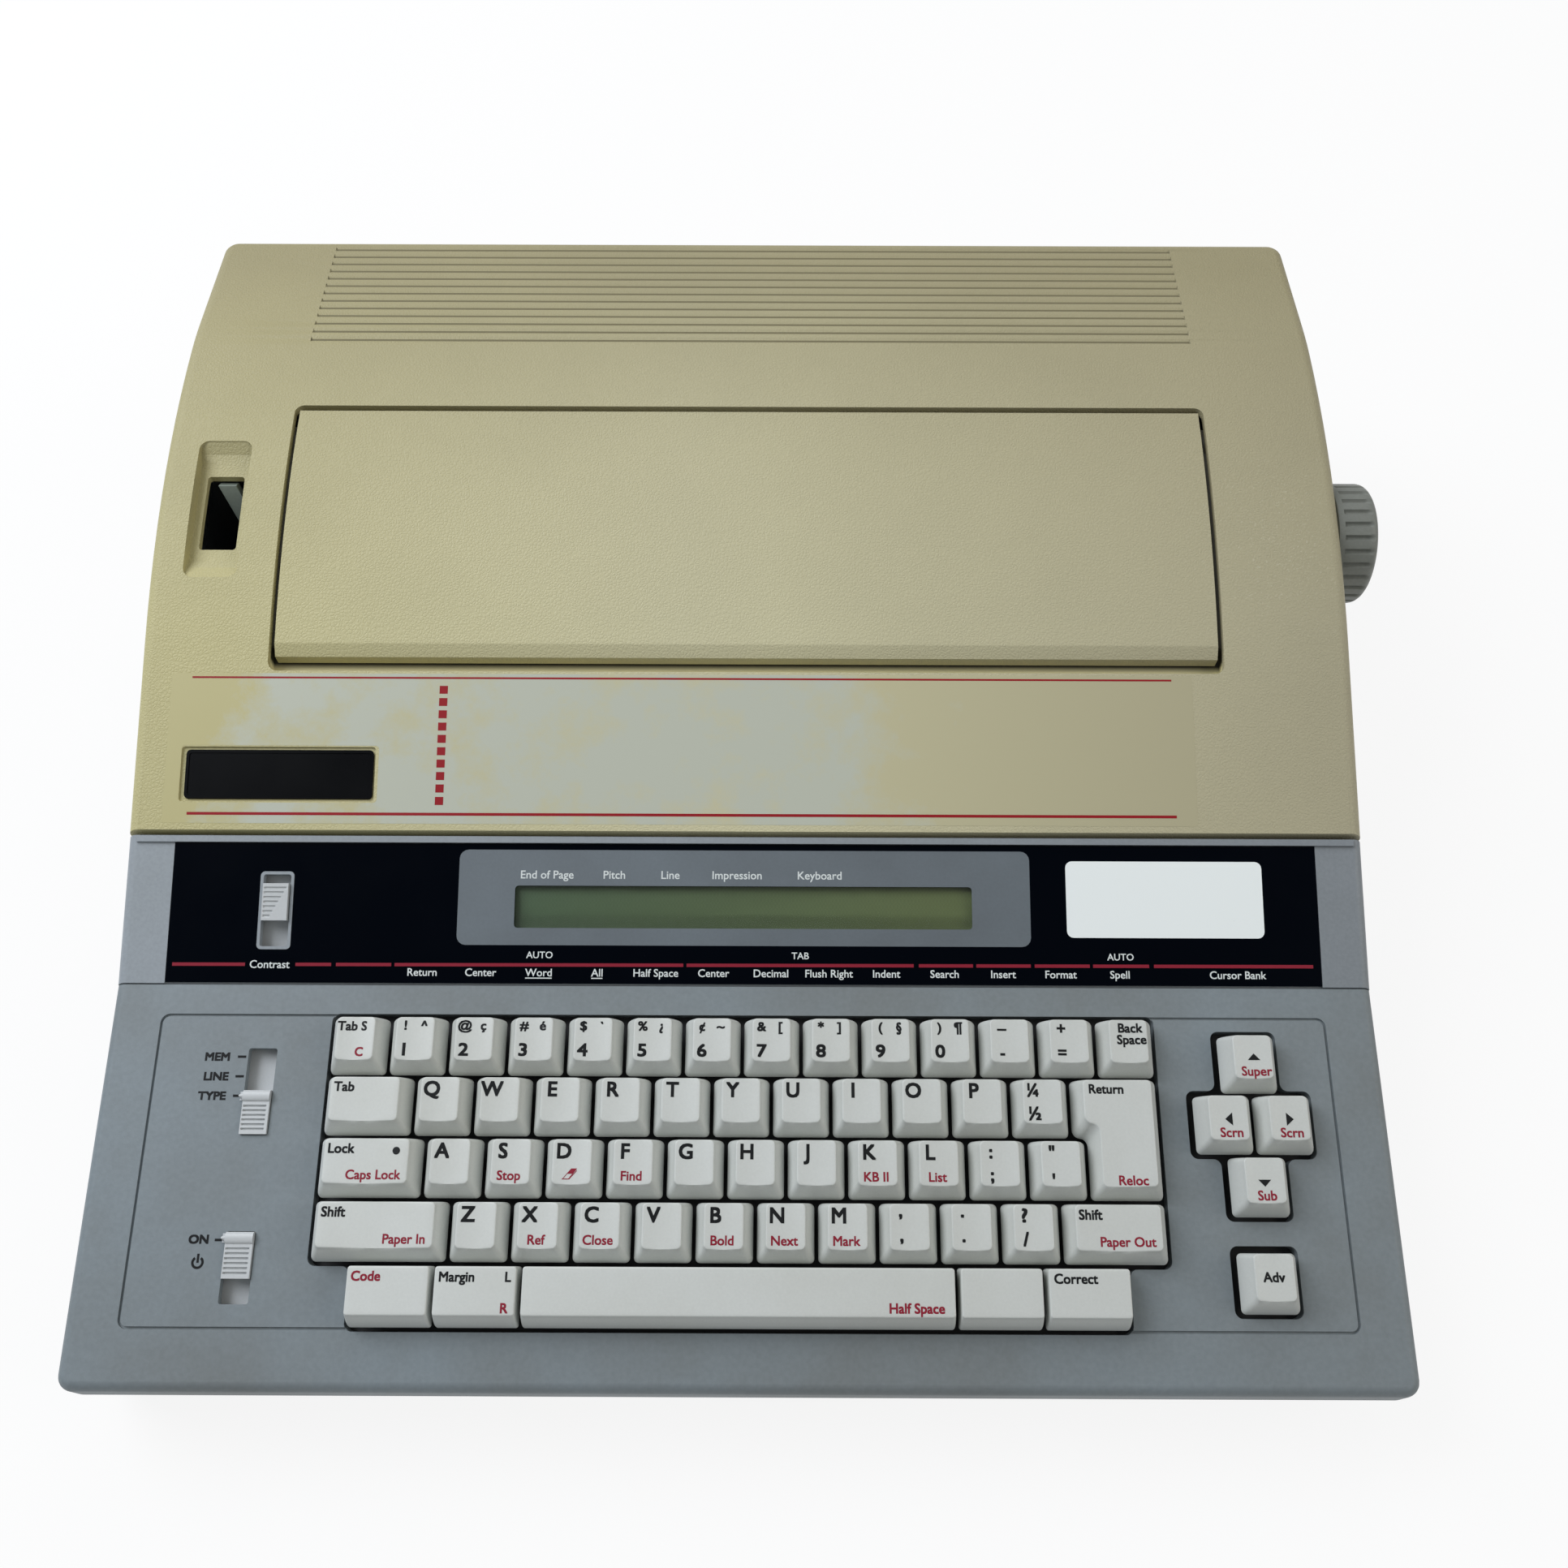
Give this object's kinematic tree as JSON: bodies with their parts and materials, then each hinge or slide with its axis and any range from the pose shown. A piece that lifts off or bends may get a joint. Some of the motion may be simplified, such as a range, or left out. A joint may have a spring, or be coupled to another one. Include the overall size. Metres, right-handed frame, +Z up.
{
  "type": "electronic typewriter",
  "caption": "Desk-top electronic typewriter with a sloping keyboard, a one-line display panel, a hinged lid over its print unit and a paper knob on the right.",
  "frame": {"origin": "bottom centre of the whole machine, knob included, on the table", "axes": "+X to the typist's right, +Y away from the typist, +Z up"},
  "size_m": [0.4306, 0.412, 0.1194],
  "materials": {
    "case_grey": "matte, fine texture",
    "deck_grey": "matte, fine texture",
    "cover_beige": "matte, leathery texture, yellowed",
    "panel_grey": "matte",
    "overlay_black": "satin",
    "lens": "clear, green tint",
    "display_green": "matte",
    "key_white": "satin, worn tops",
    "slider_white": "satin",
    "lever_grey": "satin",
    "knob_grey": "satin",
    "inner_dark": "matte",
    "rubber_black": "matte",
    "steel": "brushed",
    "gear_white": "satin",
    "motor_can": "satin",
    "board_green": "satin"
  },
  "bodies": {
    "machine": {"base_pan": "case_grey", "lower_case": "case_grey", "keyboard_housing": "deck_grey", "display_bezel": "panel_grey", "display_overlay": "overlay_black", "lcd_window": "lens", "lcd_module": "display_green", "top_cover": "cover_beige", "rubber_feet": "rubber_black", "cord_gland": "inner_dark", "chassis_frame": "steel", "key_frame": "inner_dark", "circuit_boards": "board_green", "transformer": "steel", "carriage_rails": "steel", "drive_belt": "rubber_black", "drive_motors": "motor_can", "paper_chute": "inner_dark", "slide_switches": "slider_white", "lid_frame": "cover_beige", "lever_tray": "cover_beige"},
    "lid": {"access_lid": "cover_beige"},
    "platen": {"platen_roller": "rubber_black", "platen_shaft": "steel", "platen_gear": "gear_white", "platen_knob": "knob_grey"},
    "pinion": {"feed_pinion": "gear_white"},
    "front_feed": {"front_feed_rollers": "rubber_black"},
    "rear_feed": {"rear_feed_rollers": "rubber_black"},
    "bail": {"paper_bail": "steel"},
    "lever": {"release_lever": "lever_grey"},
    "print_carriage": {"carriage": "inner_dark", "print_wheel_motor": "motor_can", "ribbon_cassette": "inner_dark"},
    "type_wheel": {"print_wheel": "inner_dark"},
    "hammer": {"print_hammer": "steel"},
    "pulley_right": {"motor_pulley": "gear_white"},
    "pulley_left": {"idler_pulley": "gear_white"},
    "contrast": {"contrast_slider": "slider_white"},
    "mode": {"mode_slider": "slider_white"},
    "power": {"power_slider": "slider_white"},
    "number_row": {"number_keys": "key_white"},
    "upper_letter_row": {"upper_letter_keys": "key_white"},
    "home_letter_row": {"home_letter_keys": "key_white"},
    "lower_letter_row": {"lower_letter_keys": "key_white"},
    "tab": {"tab_key": "key_white"},
    "lock": {"lock_key": "key_white"},
    "left_shift": {"left_shift_key": "key_white"},
    "right_shift": {"right_shift_key": "key_white"},
    "return": {"return_key": "key_white"},
    "code": {"code_key": "key_white"},
    "margin": {"margin_key": "key_white"},
    "space_bar": {"space_bar": "key_white"},
    "erase": {"erase_key": "key_white"},
    "correct": {"correct_key": "key_white"},
    "cursor_up": {"cursor_up_key": "key_white"},
    "cursor_left": {"cursor_left_key": "key_white"},
    "cursor_right": {"cursor_right_key": "key_white"},
    "cursor_down": {"cursor_down_key": "key_white"},
    "advance": {"advance_key": "key_white"}
  },
  "joints": [
    {"name": "lid_hinge", "type": "hinge", "parent": "machine", "child": "lid", "pos_m": [-0.00775, 0.1035, 0.11127], "axis": [-1, 0, 0], "range_deg": [0, 100]},
    {"name": "platen_turn", "type": "hinge", "parent": "machine", "child": "platen", "pos_m": [-0.00775, 0.079, 0.0875], "axis": [1, 0, 0], "continuous": true},
    {"name": "pinion_turn", "type": "hinge", "parent": "machine", "child": "pinion", "pos_m": [0.17175, 0.079, 0.06125], "axis": [1, 0, 0], "continuous": true},
    {"name": "front_feed_turn", "type": "hinge", "parent": "machine", "child": "front_feed", "pos_m": [-0.00775, 0.06785, 0.06819], "axis": [1, 0, 0], "continuous": true},
    {"name": "rear_feed_turn", "type": "hinge", "parent": "machine", "child": "rear_feed", "pos_m": [-0.00775, 0.09015, 0.06819], "axis": [1, 0, 0], "continuous": true},
    {"name": "bail_swing", "type": "hinge", "parent": "machine", "child": "bail", "pos_m": [-0.00775, 0.056, 0.05], "axis": [1, 0, 0], "range_deg": [0, 6]},
    {"name": "lever_swing", "type": "hinge", "parent": "machine", "child": "lever", "pos_m": [-0.18475, 0.062, 0.062], "axis": [1, 0, 0], "range_deg": [0, 21.5]},
    {"name": "carriage_travel", "type": "slide", "parent": "machine", "child": "print_carriage", "axis": [1, 0, 0], "range_m": [-0.112, 0.112]},
    {"name": "type_wheel_turn", "type": "hinge", "parent": "print_carriage", "child": "type_wheel", "pos_m": [-0.00775, 0.0587, 0.0545], "axis": [0, 1, 0], "continuous": true},
    {"name": "hammer_strike", "type": "slide", "parent": "print_carriage", "child": "hammer", "axis": [0, 1, 0], "range_m": [0, 0.003], "stiffness_N_per_m": 60, "springref_m": -0.002},
    {"name": "pulley_right_turn", "type": "hinge", "parent": "machine", "child": "pulley_right", "pos_m": [0.13725, -0.0065, 0.054], "axis": [0, 1, 0], "range_deg": [-760, 760]},
    {"name": "pulley_left_turn", "type": "hinge", "parent": "machine", "child": "pulley_left", "pos_m": [-0.15275, -0.0065, 0.054], "axis": [0, 1, 0], "range_deg": [-760, 760]},
    {"name": "contrast_slide", "type": "slide", "parent": "machine", "child": "contrast", "axis": [0, 0.9483, 0.3173], "range_m": [-0.0083, 0.0029]},
    {"name": "mode_slide", "type": "slide", "parent": "machine", "child": "mode", "axis": [0, 0.9869, 0.1616], "range_m": [0, 0.0126]},
    {"name": "power_slide", "type": "slide", "parent": "machine", "child": "power", "axis": [0, 0.9869, 0.1616], "range_m": [-0.0062, 0]},
    {"name": "number_row_press", "type": "slide", "parent": "machine", "child": "number_row", "axis": [0, 0.1616, -0.9869], "range_m": [0, 0.0035], "stiffness_N_per_m": 2100, "springref_m": -0.002},
    {"name": "upper_letter_row_press", "type": "slide", "parent": "machine", "child": "upper_letter_row", "axis": [0, 0.1616, -0.9869], "range_m": [0, 0.0035], "stiffness_N_per_m": 1650, "springref_m": -0.002},
    {"name": "home_letter_row_press", "type": "slide", "parent": "machine", "child": "home_letter_row", "axis": [0, 0.1616, -0.9869], "range_m": [0, 0.0035], "stiffness_N_per_m": 1650, "springref_m": -0.002},
    {"name": "lower_letter_row_press", "type": "slide", "parent": "machine", "child": "lower_letter_row", "axis": [0, 0.1616, -0.9869], "range_m": [0, 0.0035], "stiffness_N_per_m": 1500, "springref_m": -0.002},
    {"name": "tab_press", "type": "slide", "parent": "machine", "child": "tab", "axis": [0, 0.1616, -0.9869], "range_m": [0, 0.0035], "stiffness_N_per_m": 150, "springref_m": -0.002},
    {"name": "lock_press", "type": "slide", "parent": "machine", "child": "lock", "axis": [0, 0.1616, -0.9869], "range_m": [0, 0.0035], "stiffness_N_per_m": 150, "springref_m": -0.002},
    {"name": "left_shift_press", "type": "slide", "parent": "machine", "child": "left_shift", "axis": [0, 0.1616, -0.9869], "range_m": [0, 0.0035], "stiffness_N_per_m": 150, "springref_m": -0.002},
    {"name": "right_shift_press", "type": "slide", "parent": "machine", "child": "right_shift", "axis": [0, 0.1616, -0.9869], "range_m": [0, 0.0035], "stiffness_N_per_m": 150, "springref_m": -0.002},
    {"name": "return_press", "type": "slide", "parent": "machine", "child": "return", "axis": [0, 0.1616, -0.9869], "range_m": [0, 0.0035], "stiffness_N_per_m": 300, "springref_m": -0.002},
    {"name": "code_press", "type": "slide", "parent": "machine", "child": "code", "axis": [0, 0.1616, -0.9869], "range_m": [0, 0.0035], "stiffness_N_per_m": 150, "springref_m": -0.002},
    {"name": "margin_press", "type": "slide", "parent": "machine", "child": "margin", "axis": [0, 0.1616, -0.9869], "range_m": [0, 0.0035], "stiffness_N_per_m": 150, "springref_m": -0.002},
    {"name": "space_bar_press", "type": "slide", "parent": "machine", "child": "space_bar", "axis": [0, 0.1616, -0.9869], "range_m": [0, 0.0035], "stiffness_N_per_m": 300, "springref_m": -0.002},
    {"name": "erase_press", "type": "slide", "parent": "machine", "child": "erase", "axis": [0, 0.1616, -0.9869], "range_m": [0, 0.0035], "stiffness_N_per_m": 150, "springref_m": -0.002},
    {"name": "correct_press", "type": "slide", "parent": "machine", "child": "correct", "axis": [0, 0.1616, -0.9869], "range_m": [0, 0.0035], "stiffness_N_per_m": 150, "springref_m": -0.002},
    {"name": "cursor_up_press", "type": "slide", "parent": "machine", "child": "cursor_up", "axis": [0, 0.1616, -0.9869], "range_m": [0, 0.0035], "stiffness_N_per_m": 150, "springref_m": -0.002},
    {"name": "cursor_left_press", "type": "slide", "parent": "machine", "child": "cursor_left", "axis": [0, 0.1616, -0.9869], "range_m": [0, 0.0035], "stiffness_N_per_m": 150, "springref_m": -0.002},
    {"name": "cursor_right_press", "type": "slide", "parent": "machine", "child": "cursor_right", "axis": [0, 0.1616, -0.9869], "range_m": [0, 0.0035], "stiffness_N_per_m": 150, "springref_m": -0.002},
    {"name": "cursor_down_press", "type": "slide", "parent": "machine", "child": "cursor_down", "axis": [0, 0.1616, -0.9869], "range_m": [0, 0.0035], "stiffness_N_per_m": 150, "springref_m": -0.002},
    {"name": "advance_press", "type": "slide", "parent": "machine", "child": "advance", "axis": [0, 0.1616, -0.9869], "range_m": [0, 0.0035], "stiffness_N_per_m": 150, "springref_m": -0.002}
  ],
  "couplings": [
    {"joint": "pinion_turn", "follows": "platen_turn", "ratio": -3.3333},
    {"joint": "front_feed_turn", "follows": "platen_turn", "ratio": -2.6667},
    {"joint": "rear_feed_turn", "follows": "platen_turn", "ratio": -2.6667},
    {"joint": "pulley_right_turn", "follows": "carriage_travel", "rad_per_m": 112.36},
    {"joint": "pulley_left_turn", "follows": "carriage_travel", "rad_per_m": 112.36}
  ]
}
